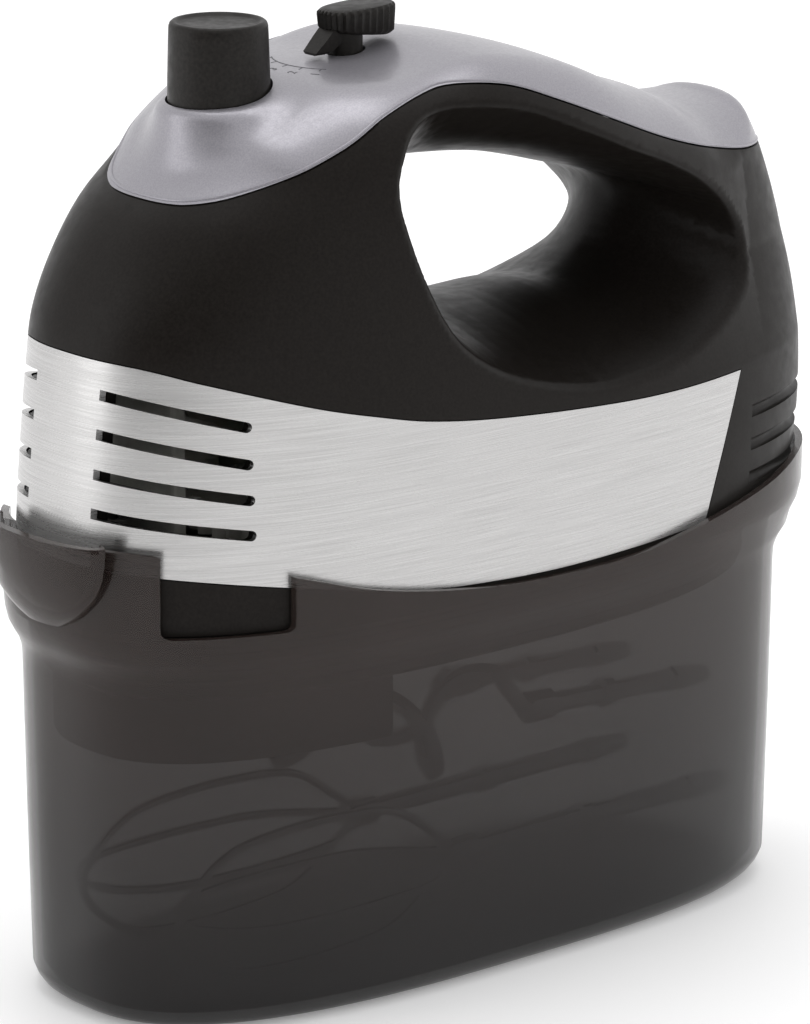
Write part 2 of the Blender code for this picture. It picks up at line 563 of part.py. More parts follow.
# ---------------------------------------------------------------- stored beaters and dough hooks
def wire(points, r, cyclic=False, res=6, sides=1):
    data = bpy.data.curves.new("wire", "CURVE")
    data.dimensions = "3D"
    data.bevel_depth = r * MM
    data.bevel_resolution = sides
    data.use_fill_caps = True
    data.resolution_u = res
    sp = data.splines.new("BEZIER")
    sp.bezier_points.add(len(points) - 1)
    for b, p in zip(sp.bezier_points, points):
        b.co = Vector(p) * MM
        b.handle_left_type = b.handle_right_type = "AUTO"
    sp.use_cyclic_u = cyclic
    ob = bpy.data.objects.new("wire", data)
    bpy.context.scene.collection.objects.link(ob)
    bpy.context.view_layer.update()
    return baked(ob)


def place(ob, at, turn, roll=0.0, pitch=0.0):
    """Lays a tool made along local X, with its loop end towards -X, at its place in the bin."""
    ob.data.transform(Matrix.Rotation(roll, 4, "X"))
    ob.data.transform(Matrix.Rotation(pitch, 4, "Y"))
    ob.data.transform(Matrix.Rotation(turn, 4, "Z"))
    ob.data.transform(Matrix.Translation(Vector(at) * MM))
    return ob


def beater(name, at, turn, roll, pitch):
    shaft = rod("X", (0, 0), 2.6, 0, 90, 12)
    shaft = boolean(shaft, rod("X", (0, 0), 4.0, -4, 5, 12), "UNION")
    for x, r in ((40, 3.6), (76, 3.3)):
        shaft = boolean(shaft, rod("X", (0, 0), r, x, x + 3, 12), "UNION")
    for k in range(2):
        end = -84 - k * 1.7
        loop = wire([(1, 0, 0), (-6, 5, 0), (-22, 15, 0), (-54, 17, 0), (-71, 14.5, 0), (-82, 7, 0), (end, 0, 0),
                     (-82, -7, 0), (-71, -14.5, 0), (-54, -17, 0), (-22, -15, 0), (-6, -5, 0), (1.2, 0.1, 0)], 1.1, False, 2)
        loop.data.transform(Matrix.Rotation(k * math.pi / 2, 4, "X"))
        shaft = boolean(shaft, loop, "UNION")
    put(place(shaft, at, turn, roll, pitch), name, "chrome")


def hook(name, at, turn, roll, pitch, hand):
    pts = [(6, 0, 0), (-4, 0, 0), (-12, 2, 0)]
    for i in range(11):
        a = i * 2 * math.pi / 8
        pts.append((-14 - i * 4.6, hand * 11 * math.sin(a), 11 * math.cos(a)))
    pts.append((-64, 0, 3))
    shaft = rod("X", (0, 0), 2.6, 0, 58, 12)
    for x, r in ((22, 3.8), (46, 3.3)):
        shaft = boolean(shaft, rod("X", (0, 0), r, x, x + 3, 12), "UNION")
    shaft = boolean(shaft, wire(pts, 2.3, False, 2), "UNION")
    put(place(shaft, at, turn, roll, pitch), name, "chrome")


beater("beater_near", (1, -19.3, 22.6), 0.0, 0.0, 0.0)
beater("beater_far", (1, 19.3, 22.6), 0.0, 0.0, 0.0)
hook("dough_hook_near", (36, -8, 50), 0.0, 0.3, 0.05, 1)
hook("dough_hook_far", (34, 20, 50), 0.0, 1.2, 0.05, -1)
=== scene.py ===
import json
import math

import bmesh
import bpy
import numpy as np
from mathutils import Matrix, Vector


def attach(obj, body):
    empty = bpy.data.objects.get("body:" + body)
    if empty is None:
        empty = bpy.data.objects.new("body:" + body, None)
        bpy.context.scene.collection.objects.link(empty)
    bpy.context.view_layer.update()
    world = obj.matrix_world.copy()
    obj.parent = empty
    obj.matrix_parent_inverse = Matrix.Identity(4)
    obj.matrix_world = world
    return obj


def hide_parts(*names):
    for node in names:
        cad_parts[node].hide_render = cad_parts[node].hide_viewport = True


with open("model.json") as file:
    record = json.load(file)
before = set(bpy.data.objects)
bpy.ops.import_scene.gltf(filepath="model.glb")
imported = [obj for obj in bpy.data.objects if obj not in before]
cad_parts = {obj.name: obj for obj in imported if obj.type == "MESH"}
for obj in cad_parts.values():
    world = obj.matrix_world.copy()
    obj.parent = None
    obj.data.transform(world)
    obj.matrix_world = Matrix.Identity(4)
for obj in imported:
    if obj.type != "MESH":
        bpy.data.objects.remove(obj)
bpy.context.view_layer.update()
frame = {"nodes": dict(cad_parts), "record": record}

MM = 0.001
scene = bpy.context.scene

# ---- Camera, light and floor
# A long lens looks from the near side towards the nose. The object stands in a white room that is dim on
# the nose's near side, with soft boxes above, ahead and at the tail, on a pale floor.
target = Vector((0.0005, 0, 0.10475))
azimuth, elevation, distance = math.radians(40), math.radians(15.7), 1.4
back = Vector((-math.sin(azimuth) * math.cos(elevation), -math.cos(azimuth) * math.cos(elevation),
               math.sin(elevation)))
camera = bpy.data.objects.new("camera", bpy.data.cameras.new("camera"))
camera.data.sensor_fit = "VERTICAL"
camera.data.sensor_height = 36
camera.data.lens = 201.8
camera.data.clip_end = 30
camera.location = target + back * distance
camera.rotation_euler = (-back).to_track_quat("-Z", "Y").to_euler()
scene.collection.objects.link(camera)
scene.camera = camera
scene.view_settings.view_transform = "Standard"

room = bpy.data.worlds.new("white_room")
room.use_nodes = True
scene.world = room
tree = room.node_tree
coords = tree.nodes.new("ShaderNodeTexCoord")
dim_side = tree.nodes.new("ShaderNodeVectorMath")
dim_side.operation = "DOT_PRODUCT"
dim_side.inputs[1].default_value = Vector((-0.84, -0.54, -0.05)).normalized()
tree.links.new(coords.outputs["Generated"], dim_side.inputs[0])
fade = tree.nodes.new("ShaderNodeMapRange")
fade.interpolation_type = "SMOOTHSTEP"
fade.inputs["From Min"].default_value = 0.55
fade.inputs["From Max"].default_value = 0.97
fade.inputs["To Min"].default_value = 0.96
fade.inputs["To Max"].default_value = 0.10
tree.links.new(dim_side.outputs["Value"], fade.inputs["Value"])
tree.links.new(fade.outputs["Result"], tree.nodes["Background"].inputs["Strength"])
tree.nodes["Background"].inputs["Color"].default_value = (1.0, 0.995, 1.0, 1)


def soft_box(name, place, size, watts, aim=(0, 0, 0.12)):
    data = bpy.data.lights.new(name, "AREA")
    data.shape = "RECTANGLE"
    data.size, data.size_y = size
    data.energy = watts
    ob = bpy.data.objects.new(name, data)
    ob.location = place
    ob.rotation_euler = (Vector(aim) - Vector(place)).to_track_quat("-Z", "Y").to_euler()
    scene.collection.objects.link(ob)


soft_box("box_above", (0.1, 0.2, 1.6), (1.0, 0.8), 5.2)
soft_box("box_ahead", (-1.5, 0.9, 0.6), (0.9, 1.2), 3.5)
soft_box("box_tail", (1.5, -0.75, 0.55), (0.5, 0.9), 1.4)


# Materials are made of fine procedural grain and streaks, in metres on each piece.
def new_material(name, colour, rough=0.4, metallic=0.0, **extra):
    mat = bpy.data.materials.new(name)
    mat.use_nodes = True
    bsdf = mat.node_tree.nodes["Principled BSDF"]
    bsdf.inputs["Base Color"].default_value = (*colour, 1)
    bsdf.inputs["Roughness"].default_value = rough
    bsdf.inputs["Metallic"].default_value = metallic
    for key, value in extra.items():
        bsdf.inputs[key.replace("_", " ")].default_value = value
    return mat, mat.node_tree, bsdf


def grain(tree, scale, detail=3.0, stretch=(1, 1, 1)):
    """Noise on the piece's own coordinates, squeezed along some axes for streaks."""
    coords = tree.nodes.new("ShaderNodeTexCoord")
    mapping = tree.nodes.new("ShaderNodeMapping")
    mapping.inputs["Scale"].default_value = stretch
    tex = tree.nodes.new("ShaderNodeTexNoise")
    tex.inputs["Scale"].default_value = scale
    tex.inputs["Detail"].default_value = detail
    tree.links.new(coords.outputs["Object"], mapping.inputs["Vector"])
    tree.links.new(mapping.outputs["Vector"], tex.inputs["Vector"])
    return tex.outputs["Fac"]


def spread(tree, fac, low, high, socket, near=0.3, far=0.7):
    """Lets a noise drive a number or, with two colours, a colour between low and high."""
    if isinstance(low, tuple):
        node = tree.nodes.new("ShaderNodeValToRGB")
        ends = node.color_ramp.elements
        ends[0].position, ends[0].color = near, (*low, 1)
        ends[1].position, ends[1].color = far, (*high, 1)
        tree.links.new(fac, node.inputs["Fac"])
        tree.links.new(node.outputs["Color"], socket)
        return
    node = tree.nodes.new("ShaderNodeMapRange")
    node.inputs["From Min"].default_value = near
    node.inputs["From Max"].default_value = far
    node.inputs["To Min"].default_value = low
    node.inputs["To Max"].default_value = high
    tree.links.new(fac, node.inputs["Value"])
    tree.links.new(node.outputs["Result"], socket)


def relief(tree, bsdf, height, strength, depth):
    node = tree.nodes.new("ShaderNodeBump")
    node.inputs["Strength"].default_value = strength
    node.inputs["Distance"].default_value = depth * MM
    tree.links.new(height, node.inputs["Height"])
    tree.links.new(node.outputs["Normal"], bsdf.inputs["Normal"])


def from_bm(name, bm):
    bmesh.ops.recalc_face_normals(bm, faces=bm.faces)
    mesh = bpy.data.meshes.new(name)
    bm.to_mesh(mesh)
    bm.free()
    ob = bpy.data.objects.new(name, mesh)
    scene.collection.objects.link(ob)
    return ob


floor_mat, tree, bsdf = new_material("pale_floor", (0.93, 0.93, 0.93), 0.6)
spread(tree, grain(tree, 6), 0.55, 0.65, bsdf.inputs["Roughness"])
bsdf.inputs["Emission Color"].default_value = (1, 1, 1, 1)
bsdf.inputs["Emission Strength"].default_value = 0.2
bm = bmesh.new()
bmesh.ops.create_grid(bm, x_segments=2, y_segments=2, size=6)
bmesh.ops.translate(bm, vec=(0, 0, -0.0002), verts=bm.verts)
floor = from_bm("floor", bm)
floor.data.materials.append(floor_mat)

# ---- The mixer's outer form
# All shells are cut from one form: a rounded oval plan whose ends lean with height, a saddle-shaped top
# with a raised round seat under the knob, and the hourglass opening of the handle. Lengths from here on
# are millimetres.
HALF_L, HALF_W, WIDEST_X, WALL = 104.0, 48.0, -5.0, 2.4
ROUND_FRONT, ROUND_REAR, RIM_R = 2.6, 2.5, 1.8
KNOB_X, SEAT_R, SEAT_TOP, SEAT_BLEND = -56.0, 14.5, 214.5, 8.0


def line(points):
    """A smooth height line through a few (position, height) points."""
    x, y = np.array(points, float).T
    m = np.gradient(y, x)
    m[1:-1] = (y[2:] - y[:-2]) / (x[2:] - x[:-2])

    def at(t):
        t = np.clip(t, x[0], x[-1])
        k = np.clip(np.searchsorted(x, t, side="right") - 1, 0, len(x) - 2)
        h = x[k + 1] - x[k]
        s = (t - x[k]) / h
        return ((2 * s ** 3 - 3 * s * s + 1) * y[k] + (s ** 3 - 2 * s * s + s) * h * m[k]
                + (3 * s * s - 2 * s ** 3) * y[k + 1] + (s ** 3 - s * s) * h * m[k + 1])
    return at


nose = line([(96, 2.4), (118, 1.7), (142, -0.6), (154, -2.1), (166, -4.1), (178, -9.8), (190, -19),
             (203, -35), (222, -43.5)])
tail = line([(96, 11.5), (110, 13), (120, 14.4), (133, 14.6), (150, 13.3), (163, 10.7), (177, 6.2),
             (190, 0.4), (210, -12.6)])
crown = line([(-106, 204), (-90, 210.5), (-80, 213.5), (-66, 215.2), (-55, 215.2), (-40, 219.6), (-20, 221.2),
              (0, 223.9), (25, 219.1), (50, 208.9), (64, 204.4), (76, 200.1), (86, 200.3), (93, 202.2),
              (100, 206.4), (106, 200.6), (112, 189.6), (120, 172.9)])
shoulder = line([(-110, 5), (-80, 6.5), (-60, 10), (-20, 17.5), (20, 18), (60, 15.9), (90, 12.2), (120, 7.1)])
RIM = [(-37, 192), (-33.5, 207), (-21, 213.8), (1, 211.9), (19, 204.6), (36, 197.1), (51, 191), (65.5, 183.2),
       (76, 174.7), (82.3, 165), (78.4, 155.3), (58, 146), (38, 142.1), (16.6, 142.7), (-8, 150.1),
       (-25.3, 164)]
THROAT = [(-25, 185), (-23, 190.5), (-11, 194.8), (0, 195), (15, 193.6), (29, 190.4), (41, 187), (53, 183.8),
          (62.5, 180.5), (63.5, 174.5), (57, 163.5), (47, 158), (34, 158), (15, 157.4), (-8, 161), (-21, 171)]


def round_max(a, b, r):
    """The larger of two distances, with the corner between them rounded to radius r."""
    both = (a > -r) & (b > -r)
    return np.where(both, np.hypot(np.maximum(a + r, 0), np.maximum(b + r, 0)) - r, np.maximum(a, b))


def body(p):
    """Below zero inside the mixer without its opening."""
    x, y, z = p.T
    front = HALF_L + WIDEST_X + nose(z)
    rear = HALF_L - WIDEST_X + tail(z)
    taper = 7.0 * np.clip((x - 20) / 65, 0, 1) ** 2 * np.clip((z - 138) / 25, 0, 1)
    width = HALF_W - 2.5 * np.clip((z - 150) / 60, 0, None) ** 1.5 - taper
    ahead = x < WIDEST_X
    u = np.where(ahead, (WIDEST_X - x) / front, (x - WIDEST_X) / rear)
    n = np.where(ahead, ROUND_FRONT, ROUND_REAR)
    side = ((np.abs(u) ** n + np.abs(y / width) ** n) ** (1 / n) - 1) * width
    top = z - crown(x) + 5.0 * (y / 47) ** 2
    form = round_max(side, top, shoulder(x))
    seat = round_max(np.hypot(x - KNOB_X, y) - SEAT_R, z - SEAT_TOP, 2.5)
    blend = np.clip(0.5 + 0.5 * (seat - form) / SEAT_BLEND, 0, 1)
    return seat * (1 - blend) + form * blend - SEAT_BLEND * blend * (1 - blend)


def reach(field, start, way, far=140.0):
    """How far each point can go along its way before it leaves the form."""
    lo, hi = np.zeros(len(start)), np.full(len(start), far)
    for _ in range(26):
        mid = (lo + hi) / 2
        inside = field(start + way * mid[:, None]) < 0
        lo, hi = np.where(inside, mid, lo), np.where(inside, hi, mid)
    return lo


def loop(points, count):
    """Closed smooth line through a few points."""
    p = np.array(points, float)
    s = np.arange(count) * len(p) / count
    k, f = s.astype(int), (s - s.astype(int))[:, None]
    a, b, c, d = (p[(k + j) % len(p)] for j in (-1, 0, 1, 2))
    return 0.5 * (2 * b + (c - a) * f + (2 * a - 5 * b + 4 * c - d) * f ** 2 + (3 * b - a - 3 * c + d) * f ** 3)


rim, throat = loop(RIM, 72), loop(THROAT, 72)
rim_y = reach(body, np.stack([rim[:, 0], rim[:, 0] * 0, rim[:, 1]], 1), np.tile([0.0, 1.0, 0.0], (72, 1)),
              60.0)


def hourglass(y):
    """The opening's outline at one distance from the middle plane."""
    return throat + (rim - throat) * (np.minimum(np.abs(y) / rim_y, 1.15) ** 1.8)[:, None]


def opening(p):
    """Distance to the handle's opening, negative inside it, measured in the plane across it."""
    out = np.full(len(p), 30.0)
    near = (p[:, 0] > -60) & (p[:, 0] < 100) & (p[:, 2] > 120) & (p[:, 2] < 235)
    x, y, z = p[near].T
    g = np.minimum(np.abs(y)[:, None] / rim_y, 1.15) ** 1.8
    ex = throat[:, 0] + (rim[:, 0] - throat[:, 0]) * g
    ez = throat[:, 1] + (rim[:, 1] - throat[:, 1]) * g
    best, inside = np.full(len(x), 1e9), np.zeros(len(x), bool)
    for i in range(len(rim)):
        ax, az, bx, bz = ex[:, i - 1], ez[:, i - 1], ex[:, i], ez[:, i]
        dx, dz, px, pz = bx - ax, bz - az, x - ax, z - az
        t = np.clip((px * dx + pz * dz) / (dx * dx + dz * dz), 0, 1)
        best = np.minimum(best, (px - t * dx) ** 2 + (pz - t * dz) ** 2)
        inside ^= ((az > z) != (bz > z)) & (px < dx * pz / np.where(dz == 0, 1e-9, dz))
    out[near] = np.sqrt(best) * np.where(inside, -1, 1)
    return out


def skin(p):
    return round_max(body(p), -opening(p), RIM_R)


def slope(field, p, h=0.05):
    steps = np.eye(3) * h
    return np.stack([(field(p + step) - field(p - step)) / (2 * h) for step in steps], -1)


def points_of(ob):
    co = np.empty(len(ob.data.vertices) * 3)
    ob.data.vertices.foreach_get("co", co)
    return co.reshape(-1, 3) / MM


def pull(ob, field, depth=0.0, steps=5, most=1.5):
    """Moves a mesh's points onto the surface that lies a given depth inside a form."""
    p = points_of(ob)
    for _ in range(steps):
        g = slope(field, p)
        step = g * ((field(p) + depth) / np.maximum((g * g).sum(1), 0.05))[:, None]
        p = p - step * np.minimum(1, most / np.maximum(np.linalg.norm(step, axis=1), 1e-9))[:, None]
    ob.data.vertices.foreach_set("co", (p * MM).ravel())
    ob.data.update()
    return ob


def baked(ob):
    """The object as its modifiers leave it, as a plain mesh."""
    bpy.context.view_layer.update()
    mesh = bpy.data.meshes.new_from_object(ob.evaluated_get(bpy.context.evaluated_depsgraph_get()))
    new = bpy.data.objects.new(ob.name, mesh)
    scene.collection.objects.link(new)
    bpy.data.objects.remove(ob, do_unlink=True)
    return new


def even(ob, cell):
    """Lays an even net of faces over a closed form."""
    mod = ob.modifiers.new("even", "REMESH")
    mod.mode = "VOXEL"
    mod.voxel_size = cell * MM
    return baked(ob)


def copy(ob):
    new = bpy.data.objects.new(ob.name + "_copy", ob.data.copy())
    scene.collection.objects.link(new)
    return new


def cut(ob, tool, how="DIFFERENCE"):
    """Cuts, joins or crosses a closed form with a tool, and uses the tool up."""
    mod = ob.modifiers.new("cut", "BOOLEAN")
    mod.operation, mod.solver, mod.object = how, "MANIFOLD", tool
    new = baked(ob)
    bpy.data.objects.remove(tool, do_unlink=True)
    return new


def loft(name, rings, ring_shaped=False):
    """Closed skin over rings of equal point counts, in millimetres."""
    bm = bmesh.new()
    loops = []
    for ring in rings:
        verts = [bm.verts.new(Vector(p) * MM) for p in ring]
        loops.append([bm.edges.new(pair) for pair in zip(verts, verts[1:] + verts[:1])])
    for lower, upper in zip(loops, loops[1:] + loops[:1] if ring_shaped else loops[1:]):
        bmesh.ops.bridge_loops(bm, edges=lower + upper)
    if not ring_shaped:
        bmesh.ops.holes_fill(bm, edges=loops[0] + loops[-1])
    return from_bm(name, bm)


def tube(name, path, radius, sides=12, ring_shaped=False, flat=1.0):
    """A bar swept along a line of points, round unless it is flattened."""
    p = np.array(path, float)
    way = np.roll(p, -1, 0) - np.roll(p, 1, 0) if ring_shaped else np.gradient(p, axis=0)
    way /= np.linalg.norm(way, axis=1)[:, None]
    up = np.array([0.0, 0.0, 1.0]) if abs(way[0][2]) < 0.9 else np.array([1.0, 0.0, 0.0])
    a = np.arange(sides)[:, None] * 2 * math.pi / sides
    rings = []
    for middle, ahead, r in zip(p, way, np.broadcast_to(radius, len(p))):
        side = np.cross(ahead, up)
        side /= np.linalg.norm(side)
        up = np.cross(side, ahead)
        rings.append(middle + r * (np.cos(a) * side + flat * np.sin(a) * up))
    return loft(name, rings, ring_shaped)


def joined(name, *parts):
    """Several closed pieces as one object."""
    bm = bmesh.new()
    for part in parts:
        bm.from_mesh(part.data)
        bpy.data.objects.remove(part, do_unlink=True)
    return from_bm(name, bm)


def round_body(height, turns, inset=0.0):
    """Points on the body's surface along a height line, at given angles about its middle."""
    way = np.stack([np.cos(turns), np.sin(turns), turns * 0], -1)
    start = np.tile([WIDEST_X, 0.0, 0.0], (len(turns), 1))

    def at_height(p):
        return body(np.stack([p[:, 0], p[:, 1], height(p[:, 0])], -1))
    p = start + way * (reach(at_height, start, way) - inset)[:, None]
    p[:, 2] = height(p[:, 0])
    return p


def side_cutter(lower, upper, x0, x1, slant=0.0, steps=110):
    """A block through the full width, bounded below and above by two height lines along X."""
    f = np.linspace(0, 1, steps + 1)
    xt, xl = x0 + (x1 - x0) * f, x0 + (x1 - slant - x0) * f
    ring = np.concatenate([np.stack([xt, upper(xt)], -1), np.stack([xl, lower(xl)], -1)[::-1]])
    return loft("cutter", [np.insert(ring, 1, y, axis=1) for y in (-70.0, 70.0)])


CELL = 1.5
bm = bmesh.new()
bmesh.ops.create_cube(bm, size=2)
bmesh.ops.subdivide_edges(bm, edges=bm.edges, cuts=39, use_grid_fill=True)
form = from_bm("form", bm)
way = points_of(form) * MM
way = way / np.linalg.norm(way, axis=1)[:, None] * (112, 48, 66)
way /= np.linalg.norm(way, axis=1)[:, None]
middle = np.array([0.0, 0.0, 148.0])
far = reach(lambda p: np.maximum(body(p), 88 - p[:, 2]), np.tile(middle, (len(way), 1)), way)
form.data.vertices.foreach_set("co", ((middle + way * far[:, None]) * MM).ravel())
form = cut(form, loft("hole", [np.insert(hourglass(y), 1, y, axis=1) for y in np.linspace(-55, 55, 23)]))
form = even(form, CELL)


def closed_skin(p):
    return np.maximum(skin(p), 88 - p[:, 2])


outer = pull(form, closed_skin)
inner = pull(copy(outer), closed_skin, WALL, 8)
shell = cut(copy(outer), inner)


def shade_by(ob, field):
    """Gives the outer skin the exact normals of the form it was cut from, so cut seams leave no marks."""
    me = ob.data
    me.shade_smooth()
    me.set_sharp_from_angle(angle=math.radians(30))
    p = points_of(ob)
    g = slope(field, p)
    g /= np.maximum(np.linalg.norm(g, axis=1), 1e-9)[:, None]
    near = np.abs(field(p)) < 0.12
    loops = np.empty(len(me.loops), int)
    me.loops.foreach_get("vertex_index", loops)
    flat = np.empty(len(me.polygons) * 3)
    me.polygons.foreach_get("normal", flat)
    total = np.empty(len(me.polygons), int)
    me.polygons.foreach_get("loop_total", total)
    flat = np.repeat(flat.reshape(-1, 3), total, axis=0)
    use = near[loops] & ((g[loops] * flat).sum(1) > 0.75)
    normals = np.zeros_like(flat)
    normals[use] = g[loops][use]
    me.normals_split_custom_set(normals.tolist())


def piece(ob, name, body_name, slot, mat, *cad):
    """Names a finished piece, gives it its material and body, and hides the CAD nodes it stands for."""
    ob.name = name
    ob.data.name = name
    ob.data.materials.clear()
    ob.data.materials.append(mat)
    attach(ob, body_name)
    if cad:
        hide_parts(*cad)
    return ob


# ---- Silver cover
# Painted plastic moulding over the nose and the grip, with round holes for the eject knob and the lever's
# pivot. A fine rolled edge runs along its border, where it meets the black housing in a thin dark seam.
border = line([(-120, 192.5), (-95, 193), (-80, 194.2), (-75, 195.6), (-70, 197.4), (-60, 201.5),
               (-48, 207.2), (-36, 213.2), (-19, 217.4), (-10, 217.9), (1, 216.4), (14, 211.6), (30, 205.1),
               (49, 197.7), (66, 192.4), (84, 188.2), (98, 186.6), (125, 184)])
SEAM, LEVER_X = 0.22, -18.0


def turned(name, profile, x, y=0.0, steps=72):
    """A turned piece from (radius, height) points, standing at one place."""
    bm = bmesh.new()
    verts = [bm.verts.new((r * MM, 0, z * MM)) for r, z in profile]
    for pair in zip(verts, verts[1:]):
        bm.edges.new(pair)
    bmesh.ops.spin(bm, geom=bm.verts[:] + bm.edges[:], cent=(0, 0, 0), axis=(0, 0, 1), dvec=(0, 0, 0),
                   angle=2 * math.pi, steps=steps, use_merge=True)
    bmesh.ops.remove_doubles(bm, verts=bm.verts, dist=1e-6)
    bmesh.ops.translate(bm, vec=(x * MM, y * MM, 0), verts=bm.verts)
    return from_bm(name, bm)


top_cover = cut(copy(shell), side_cutter(lambda x: border(x) + SEAM, lambda x: x * 0 + 250, -112, 124),
                "INTERSECT")
top_cover = cut(top_cover, turned("knob_hole", [(0, 196), (12.6, 196), (12.6, 245), (0, 245)], KNOB_X))
top_cover = cut(top_cover, turned("pivot_hole", [(0, 205), (4.8, 205), (4.8, 245), (0, 245)], LEVER_X))
rolled_edge = tube("edge", round_body(lambda x: border(x) + 0.62, np.arange(260) * 2 * math.pi / 260, 0.15),
                   0.4, 8, True)
silver, tree, bsdf = new_material("silver_paint", (0.42, 0.41, 0.45), 0.34, 0.55, Coat_Weight=0.2,
                                  Coat_Roughness=0.12)
spread(tree, grain(tree, 2600, 2), (0.28, 0.272, 0.30), (0.345, 0.335, 0.365), bsdf.inputs["Base Color"])
spread(tree, grain(tree, 900, 3), 0.30, 0.40, bsdf.inputs["Roughness"])
relief(tree, bsdf, grain(tree, 3000, 2), 0.05, 0.05)
piece(top_cover, "silver_cover", "mixer", "silver_paint", silver, "top_cover")
shade_by(top_cover, skin)
rolled_edge.data.shade_smooth()
piece(rolled_edge, "silver_cover_edge", "mixer", "silver_paint", silver)

# ---- Steel band
# Brushed sheet, let into the housing round the nose and both sides, with four punched slots on each side.
band_top = line([(-120, 161.4), (-99, 161), (-87, 157.5), (-61, 149.5), (-46, 145.7), (-32, 142.6),
                 (-10, 139.8), (28, 137.1), (50, 136.4), (74, 136.6)])
band_low = line([(-120, 114), (-97, 112.3), (-69, 108.1), (-46, 104), (-31, 101.8), (-10, 100.3), (9, 99.7),
                 (36, 100.1), (60, 101)])
BAND_END, BAND_SLANT = 73.4, 13.6
SLOTS = [(z, drop, side) for z, drop in ((151.1, 7.4), (141.9, 6.6), (132.8, 5.4), (123.9, 4.4))
         for side in (-1, 1)]


def band_cutter(grow):
    return side_cutter(lambda x: band_low(x) - grow, lambda x: band_top(x) + grow, -112, BAND_END + grow,
                       BAND_SLANT)


def slot_cutter(z, drop, half, side):
    """A slot with round ends through one side, falling a little towards the tail."""
    bm = bmesh.new()
    bmesh.ops.create_cube(bm, size=1)
    bmesh.ops.scale(bm, vec=((29.4 + 2 * half) * MM, 0.058, 2 * half * MM), verts=bm.verts)
    across = [e for e in bm.edges if abs(e.verts[0].co.y - e.verts[1].co.y) > 0.05]
    bmesh.ops.bevel(bm, geom=across, offset=half * 0.97 * MM, segments=6, profile=0.5, affect="EDGES",
                    material=-1)
    bmesh.ops.rotate(bm, verts=bm.verts, cent=(0, 0, 0), matrix=Matrix.Rotation(math.atan2(drop, 26), 3, "Y"))
    bmesh.ops.translate(bm, vec=(-0.0925, side * 0.041, z * MM), verts=bm.verts)
    return from_bm("slot", bm)


band = cut(copy(outer), pull(copy(outer), closed_skin, 0.9))
band = cut(band, band_cutter(0), "INTERSECT")
for z, drop, side in SLOTS:
    band = cut(band, slot_cutter(z, drop, 1.25, side))
steel, tree, bsdf = new_material("brushed_steel", (0.80, 0.80, 0.80), 0.3, 1.0)
streaks = grain(tree, 1, 4, (40, 40, 5200))
spread(tree, streaks, (0.45, 0.445, 0.44), (0.57, 0.565, 0.56), bsdf.inputs["Base Color"])
spread(tree, grain(tree, 1, 3, (90, 90, 3000)), 0.22, 0.36, bsdf.inputs["Roughness"])
relief(tree, bsdf, streaks, 0.12, 0.03)
piece(band, "steel_band", "mixer", "brushed_steel", steel, "trim_band")
shade_by(band, skin)

# ---- Black main housing
# Satin black moulding with the handle, cut to take the silver cover and the band, with the slots behind
# the band's, three rounded grooves round the tail and a round hole for the cord gland.
housing = cut(shell, side_cutter(lambda x: x * 0 + 98.3, lambda x: border(x) - SEAM, -112, 124), "INTERSECT")
recess = cut(pull(copy(outer), closed_skin, -1.0), pull(copy(outer), closed_skin, 1.1))
housing = cut(housing, cut(recess, band_cutter(0.3), "INTERSECT"))
for z, drop, side in SLOTS:
    housing = cut(housing, slot_cutter(z, drop, 1.6, side))
GROOVE_R = 1.7
for height in (125.0, 116.5, 108.0):
    turns = np.linspace(-26, 26, 60)
    out = -1.9 * np.clip(np.abs(turns) - 20, 0, None) / 6 + 0.15  # the groove runs out at both ends
    groove = round_body(lambda x: x * 0 + height, np.radians(turns)) - [[o, 0, 0] for o in out]
    housing = cut(housing, tube("groove", groove, GROOVE_R, 14))
gland_room = turned("gland_room", [(0, 0), (6.3, 0), (6.3, 30), (0, 30)], 0)
rear_wall = Matrix.Translation((0.100, 0, 0.150)) @ Matrix.Rotation(math.pi / 2, 4, "Y")
gland_room.data.transform(rear_wall)
housing = cut(housing, gland_room)
black, tree, bsdf = new_material("black_plastic", (0.009, 0.008, 0.007), 0.36, Specular_IOR_Level=0.1)
spread(tree, grain(tree, 1400, 2), (0.0085, 0.007, 0.006), (0.013, 0.011, 0.0095), bsdf.inputs["Base Color"])
spread(tree, grain(tree, 260, 4), 0.31, 0.42, bsdf.inputs["Roughness"])
relief(tree, bsdf, grain(tree, 2200, 2), 0.1, 0.06)
piece(housing, "black_housing", "mixer", "black_plastic", black, "main_housing")
shade_by(housing, skin)
bpy.data.objects.remove(outer, do_unlink=True)

# ---- Cord gland
# Soft rubber collar pushed into the rear wall, where a cord would enter, with three rounded ribs.
gland = turned("gland", [(3.6, 6.2), (3.6, 18.2), (4.2, 18.4), (5.2, 18.4), (5.6, 17.9), (5.6, 16.6),
                         (5.0, 16.1), (5.0, 15.2), (5.6, 14.7), (5.6, 13.6), (5.0, 13.1), (5.0, 12.3),
                         (6.0, 11.8), (6.0, 6.0), (4.0, 6.0), (3.6, 6.2)], 0)
gland.data.transform(rear_wall)
gland.data.shade_smooth()
rubber, tree, bsdf = new_material("gland_rubber", (0.02, 0.02, 0.02), 0.7)
spread(tree, grain(tree, 900, 4), (0.014, 0.014, 0.014), (0.028, 0.027, 0.026), bsdf.inputs["Base Color"])
spread(tree, grain(tree, 500, 3), 0.6, 0.8, bsdf.inputs["Roughness"])
piece(gland, "gland", "mixer", "gland_rubber", rubber, "cord_gland")

# ---- Lower housing
# Black moulding that closes the mixer from below, let into the bin's mouth, with a deeper boss at the
# front for the two beater sockets. A stepped edge and three ribs run round it.
TUB_ROUND = (2.64, 3.24)
SPINDLE_X, SPINDLE_Y = -62.0, 21.0
BODY_ROUND = (ROUND_FRONT, ROUND_REAR)


